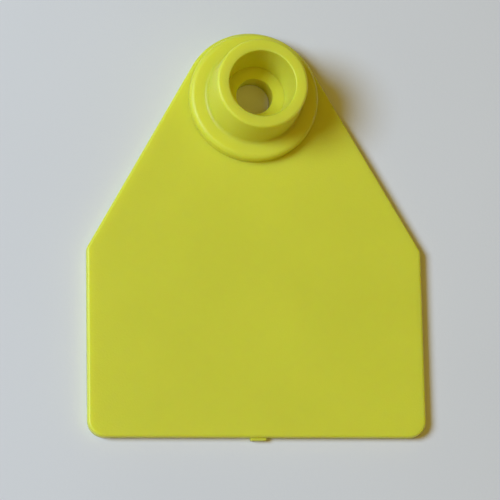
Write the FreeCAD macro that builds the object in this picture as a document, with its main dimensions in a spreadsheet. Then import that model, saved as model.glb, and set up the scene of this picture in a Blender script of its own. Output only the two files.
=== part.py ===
import FreeCAD, Part
import math
import os
import Sketcher

# Livestock ear tag: the socket half of a two-piece flag tag, injection moulded in one shot from soft
# polyurethane. A thin panel hangs from a round neck, and a hub stands on the front of the neck. The
# stud of the other half comes through the bore from the back, and its barb catches on the floor of
# the socket, which widens towards the hub's mouth.
#
# Frame: origin on the hub's axis at the flat back face, +X across the panel, +Y from the panel's foot
# to its neck, +Z out of the hub's mouth.

# Every driving size, in millimetres: its name, its value and what it measures.
SIZES = [
    ("stud_radius", 3.2, "shank of the other half's stud"),
    ("stud_clearance", 0.1, "gap around that shank in the bore"),
    ("catch_ledge", 2.1, "width of the socket's floor, where the stud's barb catches"),
    ("catch_thickness", 4.3, "from the back face to the socket's floor"),
    ("socket_flare", 0.55, "how much wider the socket is at its mouth than at its floor"),
    ("rim_wall", 2.1, "wall of the barrel at the socket's mouth"),
    ("barrel_flare", 0.5, "how much wider the barrel is at its foot than at its rim"),
    ("flange_ledge", 3.1, "how far the flange stands out past the barrel's foot"),
    ("flange_height", 2.5, "flange above the panel"),
    ("hub_height", 11.3, "rim of the hub above the panel"),
    ("neck_ledge", 0.75, "how far the panel's neck stands out past the flange"),
    ("panel_thickness", 2.1, "panel"),
    ("panel_width", 60.0, "panel, across its two upright sides"),
    ("foot_drop", 61.0, "from the hub's axis down to the panel's foot"),
    ("side_height", 33.5, "upright sides, from the foot to the shoulders"),
    ("foot_corner_round", 3.0, "corners of the foot"),
    ("shoulder_round", 1.4, "corners where the sides turn in towards the neck"),
    ("panel_edge_round", 0.45, "front edge, all round the panel"),
    ("flange_round", 0.9, "outer edge of the flange"),
    ("barrel_foot_round", 0.65, "inner corner between the flange and the barrel"),
    ("rim_round", 0.45, "outer edge of the rim"),
    ("mouth_round", 0.2, "inner edge of the rim"),
    ("gate_width", 3.2, "stub left by the mould's gate, at the middle of the foot"),
    ("gate_taper", 0.3, "how much the stub narrows on each side"),
    ("gate_reach", 0.5, "how far the stub stands out of the foot"),
    ("gate_thickness", 1.2, "stub, up from the back face"),
]

# Radii about the hub's axis, each worked out from the one inside it.
BORE_RADIUS = "Sizes.stud_radius + Sizes.stud_clearance"
FLOOR_RADIUS = BORE_RADIUS + " + Sizes.catch_ledge"
MOUTH_RADIUS = FLOOR_RADIUS + " + Sizes.socket_flare"
RIM_RADIUS = MOUTH_RADIUS + " + Sizes.rim_wall"
BARREL_FOOT_RADIUS = RIM_RADIUS + " + Sizes.barrel_flare"
FLANGE_RADIUS = BARREL_FOOT_RADIUS + " + Sizes.flange_ledge"
NECK_RADIUS = FLANGE_RADIUS + " + Sizes.neck_ledge"

# Heights above the back face.
FRONT = "Sizes.panel_thickness"
FLOOR = "Sizes.catch_thickness"
FLANGE_TOP = FRONT + " + Sizes.flange_height"
RIM_TOP = FRONT + " + Sizes.hub_height"
HUB_ROOT = FRONT + " - Sizes.panel_edge_round"  # in the panel, below its rounded edge

# What a constraint calls the points of a line or arc, the sketch's own axes and its origin.
POINTS = ["none", "start", "end", "centre"]
AXES = ["none", "x", "y"]
START, END, CENTRE = (POINTS.index(name) for name in POINTS[1:])
X_AXIS, Y_AXIS = (-AXES.index(name) for name in AXES[1:])
ORIGIN = (X_AXIS, START)

MATCH = 1e-4  # how near an edge has to be to where it is looked for


def make_sheet(document):
    """The spreadsheet that holds the driving sizes, one to a row."""
    sheet = document.addObject("Spreadsheet::Sheet", "Sizes")
    for row, (name, size, meaning) in enumerate(SIZES, start=1):
        sheet.set(f"A{row}", name)
        sheet.set(f"B{row}", str(size))
        sheet.set(f"C{row}", meaning)
        sheet.setAlias(f"B{row}", name)
    document.recompute()
    return sheet


document = FreeCAD.newDocument("EarTag")
sheet = make_sheet(document)


def value(expression):
    """What an expression over the sheet comes to."""
    return float(sheet.evalExpression(expression))


def same(found, wanted):
    """Whether two lengths agree."""
    return abs(found - wanted) < MATCH


# Sketches


def new_sketch(body, name, plane):
    """An empty sketch on one of the body's own origin planes."""
    support = next(feature for feature in body.Origin.OriginFeatures if feature.Role == plane)
    sketch = body.newObject("Sketcher::SketchObject", name)
    sketch.AttachmentSupport = [(support, "")]
    sketch.MapMode = "FlatFace"
    return sketch


def add_line(sketch, start, end):
    """A straight line between two (x, y) points."""
    return sketch.addGeometry(Part.LineSegment(FreeCAD.Vector(*start), FreeCAD.Vector(*end)))


def constrain(sketch, kind, *references):
    """A constraint with no size, such as Coincident or Tangent."""
    sketch.addConstraint(Sketcher.Constraint(kind, *references))


def drive(sketch, name, expression, kind, *references):
    """A dimension that follows an expression over the sheet."""
    dimension = Sketcher.Constraint(kind, *references, value(expression))
    sketch.renameConstraint(sketch.addConstraint(dimension), name)
    sketch.setExpression("Constraints." + name, expression)


def sketch_outline(body):
    """The panel: upright sides below, and slants above them that run tangent into the neck's arc."""
    sketch = new_sketch(body, "PanelOutline", "XY_Plane")
    side = value("Sizes.panel_width") / 2
    foot = -value("Sizes.foot_drop")
    shoulder = foot + value("Sizes.side_height")
    neck = value(NECK_RADIUS)
    touch_angle = math.atan2(shoulder, side) + math.acos(neck / math.hypot(side, shoulder))
    touch_x = neck * math.cos(touch_angle)
    touch_y = neck * math.sin(touch_angle)

    foot_line = add_line(sketch, (-side, foot), (side, foot))
    right_side = add_line(sketch, (side, foot), (side, shoulder))
    right_slant = add_line(sketch, (side, shoulder), (touch_x, touch_y))
    circle = Part.Circle(FreeCAD.Vector(0, 0, 0), FreeCAD.Vector(0, 0, 1), neck)
    neck_arc = sketch.addGeometry(Part.ArcOfCircle(circle, touch_angle, math.pi - touch_angle))
    left_slant = add_line(sketch, (-touch_x, touch_y), (-side, shoulder))
    left_side = add_line(sketch, (-side, shoulder), (-side, foot))

    constrain(sketch, "Coincident", foot_line, END, right_side, START)
    constrain(sketch, "Coincident", right_side, END, right_slant, START)
    constrain(sketch, "Tangent", right_slant, END, neck_arc, START)
    constrain(sketch, "Tangent", neck_arc, END, left_slant, START)
    constrain(sketch, "Coincident", left_slant, END, left_side, START)
    constrain(sketch, "Coincident", left_side, END, foot_line, START)
    constrain(sketch, "Coincident", neck_arc, CENTRE, *ORIGIN)
    constrain(sketch, "Symmetric", foot_line, START, foot_line, END, Y_AXIS)
    constrain(sketch, "Vertical", right_side)
    constrain(sketch, "Vertical", left_side)
    constrain(sketch, "Equal", right_side, left_side)
    drive(sketch, "neck_radius", NECK_RADIUS, "Radius", neck_arc)
    drive(sketch, "width", "Sizes.panel_width", "DistanceX", foot_line, START, foot_line, END)
    drive(sketch, "drop", "Sizes.foot_drop", "DistanceY", foot_line, START, *ORIGIN)
    drive(sketch, "side", "Sizes.side_height", "DistanceY", right_side, START, right_side, END)
    return sketch


def sketch_gate(body):
    """The gate's stub: narrower outwards, and rooted inside the panel's foot."""
    sketch = new_sketch(body, "GateOutline", "XY_Plane")
    root = -value("Sizes.foot_drop - Sizes.panel_edge_round")
    tip = -value("Sizes.foot_drop + Sizes.gate_reach")
    root_side = value("Sizes.gate_width") / 2
    tip_side = root_side - value("Sizes.gate_taper")

    root_line = add_line(sketch, (root_side, root), (-root_side, root))
    left_flank = add_line(sketch, (-root_side, root), (-tip_side, tip))
    tip_line = add_line(sketch, (-tip_side, tip), (tip_side, tip))
    right_flank = add_line(sketch, (tip_side, tip), (root_side, root))

    chain = [root_line, left_flank, tip_line, right_flank]
    for line, following in zip(chain, chain[1:] + chain[:1]):
        constrain(sketch, "Coincident", line, END, following, START)
    constrain(sketch, "Symmetric", root_line, START, root_line, END, Y_AXIS)
    constrain(sketch, "Symmetric", tip_line, START, tip_line, END, Y_AXIS)
    drive(sketch, "root", "Sizes.foot_drop - Sizes.panel_edge_round", "DistanceY",
          root_line, START, *ORIGIN)
    drive(sketch, "tip", "Sizes.foot_drop + Sizes.gate_reach", "DistanceY",
          tip_line, START, *ORIGIN)
    drive(sketch, "root_width", "Sizes.gate_width", "DistanceX", root_line, END, root_line, START)
    drive(sketch, "tip_width", "Sizes.gate_width - 2 * Sizes.gate_taper", "DistanceX",
          tip_line, START, tip_line, END)
    return sketch


def sketch_profile(body, name, corners):
    """A closed half-section for turning about the hub's axis.

    Each corner is its name, its radius and its height, the last two as expressions over the sheet. A
    corner on the axis has None for its radius.
    """
    sketch = new_sketch(body, name, "XZ_Plane")
    points = [(value(radius) if radius else 0, value(height)) for _, radius, height in corners]
    chain = [add_line(sketch, *ends) for ends in zip(points, points[1:] + points[:1])]
    for line, following in zip(chain, chain[1:] + chain[:1]):
        constrain(sketch, "Coincident", line, END, following, START)
    for line, (corner, radius, height) in zip(chain, corners):
        if radius:
            drive(sketch, corner + "_radius", radius, "DistanceX", *ORIGIN, line, START)
        else:
            constrain(sketch, "PointOnObject", line, START, Y_AXIS)
        drive(sketch, corner + "_height", height, "DistanceY", *ORIGIN, line, START)
    return sketch


def sketch_bore(body):
    """The circle of the bore that the stud comes through."""
    sketch = new_sketch(body, "BoreCircle", "XY_Plane")
    centre = FreeCAD.Vector(0, 0, 0)
    circle = sketch.addGeometry(Part.Circle(centre, FreeCAD.Vector(0, 0, 1), value(BORE_RADIUS)))
    constrain(sketch, "Coincident", circle, CENTRE, *ORIGIN)
    drive(sketch, "bore_radius", BORE_RADIUS, "Radius", circle)
    return sketch


# Features


def pad(body, name, sketch, height):
    """Material from the back face up to a height."""
    feature = body.newObject("PartDesign::Pad", name)
    feature.Profile = sketch
    feature.setExpression("Length", height)
    document.recompute()


def turn(body, kind, name, sketch):
    """A profile turned a full circle about the hub's axis, to add material or take it away."""
    feature = body.newObject(kind, name)
    feature.Profile = sketch
    feature.ReferenceAxis = (sketch, ["V_Axis"])
    feature.Angle = 360
    document.recompute()


def cut_through(body, name, sketch):
    """A hole of the sketch's shape, from the back face right through."""
    feature = body.newObject("PartDesign::Pocket", name)
    feature.Profile = sketch
    feature.Type = "ThroughAll"
    feature.Reversed = True
    document.recompute()


def round_edges(body, name, radius, wanted):
    """Rounds each edge of the body, as it is so far, for which wanted(edge) is true."""
    base = body.Tip
    edges = [f"Edge{place}" for place, edge in enumerate(base.Shape.Edges, start=1) if wanted(edge)]
    feature = body.newObject("PartDesign::Fillet", name)
    feature.Base = (base, edges)
    feature.setExpression("Radius", radius)
    document.recompute()


def upright_at(level):
    """Picks the upright edges at one y."""

    def wanted(edge):
        box = edge.BoundBox
        upright = box.ZLength > MATCH and box.XLength < MATCH
        return upright and same(box.YMin, level) and same(box.YMax, level)

    return wanted


def level_at(height):
    """Picks the edges that lie flat at one height."""

    def wanted(edge):
        return same(edge.BoundBox.ZMin, height) and same(edge.BoundBox.ZMax, height)

    return wanted


def circle_at(radius, height):
    """Picks the circle of one radius at one height."""

    def wanted(edge):
        if not isinstance(edge.Curve, Part.Circle):
            return False
        return same(edge.Curve.Radius, value(radius)) and same(edge.Curve.Center.z, value(height))

    return wanted


def make_ear_tag():
    """The whole moulding, as one body."""
    body = document.addObject("PartDesign::Body", "EarTag")
    body.Label = "ear_tag"
    body.Placement = FreeCAD.Placement()

    pad(body, "Panel", sketch_outline(body), FRONT)
    foot = -value("Sizes.foot_drop")
    shoulder = foot + value("Sizes.side_height")
    round_edges(body, "FootCorners", "Sizes.foot_corner_round", upright_at(foot))
    round_edges(body, "Shoulders", "Sizes.shoulder_round", upright_at(shoulder))
    round_edges(body, "PanelEdge", "Sizes.panel_edge_round", level_at(value(FRONT)))
    pad(body, "Gate", sketch_gate(body), "Sizes.gate_thickness")

    hub = sketch_profile(body, "HubProfile", [
        ("root_centre", None, HUB_ROOT),
        ("root", FLANGE_RADIUS, HUB_ROOT),
        ("flange", FLANGE_RADIUS, FLANGE_TOP),
        ("barrel_foot", BARREL_FOOT_RADIUS, FLANGE_TOP),
        ("rim", RIM_RADIUS, RIM_TOP),
        ("rim_centre", None, RIM_TOP),
    ])
    turn(body, "PartDesign::Revolution", "Hub", hub)
    socket = sketch_profile(body, "SocketProfile", [
        ("floor_centre", None, FLOOR),
        ("floor", FLOOR_RADIUS, FLOOR),
        ("mouth", MOUTH_RADIUS, RIM_TOP),
        ("mouth_centre", None, RIM_TOP),
    ])
    turn(body, "PartDesign::Groove", "Socket", socket)
    cut_through(body, "Bore", sketch_bore(body))

    round_edges(body, "FlangeEdge", "Sizes.flange_round", circle_at(FLANGE_RADIUS, FLANGE_TOP))
    round_edges(body, "BarrelFoot", "Sizes.barrel_foot_round", circle_at(BARREL_FOOT_RADIUS, FLANGE_TOP))
    round_edges(body, "RimEdge", "Sizes.rim_round", circle_at(RIM_RADIUS, RIM_TOP))
    round_edges(body, "MouthEdge", "Sizes.mouth_round", circle_at(MOUTH_RADIUS, RIM_TOP))
    return body


def check(document, parts):
    """Stops before anything is written if a feature failed or a part isn't one sound solid."""
    for item in document.Objects:
        if "Invalid" in item.State or "Error" in item.State:
            raise RuntimeError(f"{item.Name} failed: {item.State}")
        if item.TypeId == "Sketcher::SketchObject" and not item.FullyConstrained:
            raise RuntimeError(f"{item.Name} isn't fully constrained")
    for part in parts:
        if part.Shape.isNull() or not part.Shape.isValid() or len(part.Shape.Solids) != 1:
            raise RuntimeError(f"{part.Label} isn't one sound solid")


parts = [make_ear_tag()]
document.recompute()
check(document, parts)
os.makedirs("parts", exist_ok=True)
for part in parts:
    part.Shape.exportStep(f"parts/{part.Label}.step")
    size = part.Shape.optimalBoundingBox()
    print(f"{part.Label}: {size.XLength:.2f} x {size.YLength:.2f} x {size.ZLength:.2f} mm,"
          f" {part.Shape.Volume:.0f} cubic mm")
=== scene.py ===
import math

import bpy
from mathutils import Matrix, Vector


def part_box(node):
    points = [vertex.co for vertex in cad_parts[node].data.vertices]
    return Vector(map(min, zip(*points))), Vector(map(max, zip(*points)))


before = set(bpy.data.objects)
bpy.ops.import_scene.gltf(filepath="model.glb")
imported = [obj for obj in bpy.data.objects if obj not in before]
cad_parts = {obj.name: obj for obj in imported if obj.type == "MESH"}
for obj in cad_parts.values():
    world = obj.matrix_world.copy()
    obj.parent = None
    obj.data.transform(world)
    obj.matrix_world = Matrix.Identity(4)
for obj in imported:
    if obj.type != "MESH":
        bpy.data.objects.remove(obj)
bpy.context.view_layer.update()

MM = 0.001
MICRON = 0.000001

# The camera is above the tag's lower left and looks down on it. It aims at a point on the floor,
# this far from the middle of the tag's box.
AIM_ASIDE = Vector((-0.65, -2.64, 0.0)) * MM
CAMERA_DISTANCE = 460 * MM
CAMERA_PITCH = -11.93
CAMERA_YAW = 9.24
CAMERA_ROLL = -0.82
FIELD_WIDTH = 89.1 * MM
SENSOR_WIDTH = 36.0
NEAREST_SHARE = 0.1  # nothing is drawn nearer to the camera than this share of its distance

# The key is a soft round lamp up on the left, as cool as a window. Its azimuth is from +X to +Y.
KEY_DISTANCE = 1070 * MM
KEY_WIDTH = 470 * MM
KEY_AZIMUTH = 174.3
KEY_ELEVATION = 46.4
KEY_POWER = 8.81
KEY_COLOUR = (0.725, 1.0, 1.26)

# The room's own light is warm and dim. Its walls shine from one side, and its ceiling from overhead.
WALL_COLOUR = (1.37, 1.0, 0.51, 1.0)
WALL_EVEN = -0.157
WALL_LEAN = (0.068, -0.1, 0.28)
CEILING_COLOUR = (1.28, 1.0, 0.03, 1.0)
CEILING_STRENGTH = 0.476
CEILING_FOCUS = 4

# A noise is the size of its largest lumps, then how many finer layers it has.
NOISE_SPREAD = (0.35, 0.65)  # nearly all of any noise lies between these

PAPER_WIDTH = 3.0
PAPER_GAP = 50 * MICRON
PAPER_COLOUR = (0.815, 0.76, 0.828)
PAPER_CLOUDS = (60 * MM, 2)
PAPER_CLOUD_TINT = 0.01
PAPER_TOOTH = (0.5 * MM, 5)
PAPER_TOOTH_DEPTH = 15 * MICRON
PAPER_ROUGHNESS = 0.8
PAPER_SHINE = 0.2

PLASTIC_COLOUR = (0.79, 0.734, 0.061)
PLASTIC_DEPTH = Vector((2.7, 2.2, 0.63)) * MM  # how far red, green and blue spread inside it
PLASTIC_INDEX = 1.49
PLASTIC_CLOUDS = (22 * MM, 3)
PLASTIC_CLOUD_TINT = 0.02
PLASTIC_GRAIN = (0.35 * MM, 4)
PLASTIC_GRAIN_DEPTH = 25 * MICRON
PLASTIC_SWELL = (9 * MM, 1)
PLASTIC_SWELL_DEPTH = 60 * MICRON
PLASTIC_ROUGHNESS = (0.38, 0.52)  # in the grain's hollows and on its tops


# Materials


def new_material(name):
    """A material with its node tree, its shader and the place in the object as a socket."""
    material = bpy.data.materials.new(name)
    material.use_nodes = True
    tree = material.node_tree
    place = tree.nodes.new("ShaderNodeTexCoord").outputs["Object"]
    return material, tree, tree.nodes["Principled BSDF"], place


def noise(tree, place, size, detail):
    """Cloudy noise from 0 to 1, whose largest lumps are about this size."""
    node = tree.nodes.new("ShaderNodeTexNoise")
    node.inputs["Scale"].default_value = 1 / size
    node.inputs["Detail"].default_value = detail
    tree.links.new(place, node.inputs["Vector"])
    return node.outputs["Fac"]


def remap(tree, amount, low, high):
    """Noise spread out to run from low to high."""
    node = tree.nodes.new("ShaderNodeMapRange")
    node.inputs["From Min"].default_value, node.inputs["From Max"].default_value = NOISE_SPREAD
    node.inputs["To Min"].default_value = low
    node.inputs["To Max"].default_value = high
    tree.links.new(amount, node.inputs["Value"])
    return node.outputs["Result"]


def tint(tree, colour, amount, change):
    """A colour that gets lighter by this share where the amount is 1, and darker where it is 0."""
    node = tree.nodes.new("ShaderNodeMix")
    node.data_type = "RGBA"
    node.inputs["A"].default_value = (*(channel * (1 - change) for channel in colour), 1.0)
    node.inputs["B"].default_value = (*(channel * (1 + change) for channel in colour), 1.0)
    tree.links.new(remap(tree, amount, 0.0, 1.0), node.inputs["Factor"])
    return node.outputs["Result"]


def bump(tree, height, depth, under=None):
    """A bumpy surface normal of this depth, on top of the one under it."""
    node = tree.nodes.new("ShaderNodeBump")
    node.inputs["Distance"].default_value = depth
    tree.links.new(height, node.inputs["Height"])
    if under:
        tree.links.new(under, node.inputs["Normal"])
    return node.outputs["Normal"]


def make_plastic():
    """Translucent yellow polyurethane, satin from the mould's grain, with a slight unevenness."""
    material, tree, shader, place = new_material("polyurethane")
    clouds = noise(tree, place, *PLASTIC_CLOUDS)
    grain = noise(tree, place, *PLASTIC_GRAIN)
    swell = noise(tree, place, *PLASTIC_SWELL)
    shader.inputs["IOR"].default_value = PLASTIC_INDEX
    shader.inputs["Subsurface Weight"].default_value = 1.0
    shader.inputs["Subsurface Radius"].default_value = PLASTIC_DEPTH
    shader.inputs["Subsurface Scale"].default_value = 1.0
    colour = tint(tree, PLASTIC_COLOUR, clouds, PLASTIC_CLOUD_TINT)
    tree.links.new(colour, shader.inputs["Base Color"])
    tree.links.new(remap(tree, grain, *PLASTIC_ROUGHNESS), shader.inputs["Roughness"])
    normal = bump(tree, grain, PLASTIC_GRAIN_DEPTH, bump(tree, swell, PLASTIC_SWELL_DEPTH))
    tree.links.new(normal, shader.inputs["Normal"])
    return material


def make_paper():
    """Plain pale card, a little cloudy, with a fine tooth."""
    material, tree, shader, place = new_material("paper")
    clouds = noise(tree, place, *PAPER_CLOUDS)
    tooth = noise(tree, place, *PAPER_TOOTH)
    shader.inputs["Roughness"].default_value = PAPER_ROUGHNESS
    shader.inputs["Specular IOR Level"].default_value = PAPER_SHINE
    tree.links.new(tint(tree, PAPER_COLOUR, clouds, PAPER_CLOUD_TINT), shader.inputs["Base Color"])
    tree.links.new(bump(tree, tooth, PAPER_TOOTH_DEPTH), shader.inputs["Normal"])
    return material


# The studio


def add_to_scene(name, data):
    """A new object in the scene."""
    thing = bpy.data.objects.new(name, data)
    bpy.context.scene.collection.objects.link(thing)
    return thing


def aim_point():
    """The point on the floor that the camera and the key aim at."""
    low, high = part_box("ear_tag")
    middle = (Vector(low) + Vector(high)) / 2
    return Vector((middle.x, middle.y, 0.0)) + AIM_ASIDE


def make_camera(aim):
    """Turned from looking straight down by a pitch about X, then a yaw about Y, then a roll about Z."""
    turn = Matrix.Identity(3)
    for degrees, axis in ((CAMERA_PITCH, "X"), (CAMERA_YAW, "Y"), (CAMERA_ROLL, "Z")):
        turn = Matrix.Rotation(math.radians(degrees), 3, axis) @ turn
    facing = turn.transposed()
    data = bpy.data.cameras.new("camera")
    data.sensor_width = SENSOR_WIDTH
    data.lens = SENSOR_WIDTH * CAMERA_DISTANCE / FIELD_WIDTH
    data.clip_start = CAMERA_DISTANCE * NEAREST_SHARE
    camera = add_to_scene("camera", data)
    away = facing @ Vector((0.0, 0.0, CAMERA_DISTANCE))
    camera.matrix_world = Matrix.Translation(aim + away) @ facing.to_4x4()
    bpy.context.scene.camera = camera


def make_key(aim):
    """The soft lamp, up on the left."""
    azimuth = math.radians(KEY_AZIMUTH)
    elevation = math.radians(KEY_ELEVATION)
    level = math.cos(elevation)
    toward = Vector((math.cos(azimuth) * level, math.sin(azimuth) * level, math.sin(elevation)))
    data = bpy.data.lights.new("key", "AREA")
    data.shape = "DISK"
    data.size = KEY_WIDTH
    data.color = KEY_COLOUR
    data.energy = KEY_POWER
    key = add_to_scene("key", data)
    key.location = aim + toward * KEY_DISTANCE
    key.rotation_euler = toward.to_track_quat("Z", "Y").to_euler()


def calculate(tree, operation, *values):
    """A maths node on sockets or plain numbers."""
    node = tree.nodes.new("ShaderNodeMath")
    node.operation = operation
    for given, socket in zip(values, node.inputs):
        if isinstance(given, bpy.types.NodeSocket):
            tree.links.new(given, socket)
        else:
            socket.default_value = given
    return node.outputs["Value"]


def background(tree, colour, strength):
    """Light of one colour from all round, and none where its strength is below 0."""
    node = tree.nodes.new("ShaderNodeBackground")
    node.inputs["Color"].default_value = colour
    tree.links.new(calculate(tree, "MAXIMUM", strength, 0.0), node.inputs["Strength"])
    return node.outputs["Background"]


def make_room():
    """The light from the walls, which leans to one side, and from the ceiling, which is overhead."""
    room = bpy.data.worlds.new("room")
    room.use_nodes = True
    tree = room.node_tree
    direction = tree.nodes.new("ShaderNodeTexCoord").outputs["Generated"]
    split = tree.nodes.new("ShaderNodeSeparateXYZ")
    tree.links.new(direction, split.inputs["Vector"])
    walls = WALL_EVEN
    for axis, lean in zip("XYZ", WALL_LEAN):
        walls = calculate(tree, "MULTIPLY_ADD", split.outputs[axis], lean, walls)
    upward = calculate(tree, "MAXIMUM", split.outputs["Z"], 0.0)
    overhead = calculate(tree, "POWER", upward, CEILING_FOCUS)
    ceiling = calculate(tree, "MULTIPLY", overhead, CEILING_STRENGTH)
    both = tree.nodes.new("ShaderNodeAddShader")
    tree.links.new(background(tree, WALL_COLOUR, walls), both.inputs[0])
    tree.links.new(background(tree, CEILING_COLOUR, ceiling), both.inputs[1])
    tree.links.new(both.outputs["Shader"], tree.nodes["World Output"].inputs["Surface"])
    bpy.context.scene.world = room


def make_floor():
    """The card that the tag lies on, a hair below it."""
    half = PAPER_WIDTH / 2
    corners = [(-half, -half, 0.0), (half, -half, 0.0), (half, half, 0.0), (-half, half, 0.0)]
    mesh = bpy.data.meshes.new("paper")
    mesh.from_pydata(corners, [], [range(len(corners))])
    mesh.materials.append(make_paper())
    floor = add_to_scene("paper", mesh)
    floor.location.z = -PAPER_GAP


def dress_tag():
    """The CAD solid has the real form, so it stays and gets its material."""
    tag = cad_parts["ear_tag"]
    tag.data.materials.clear()
    tag.data.materials.append(make_plastic())


aim = aim_point()
make_camera(aim)
make_key(aim)
make_room()
make_floor()
dress_tag()
bpy.context.scene.view_settings.view_transform = "Standard"
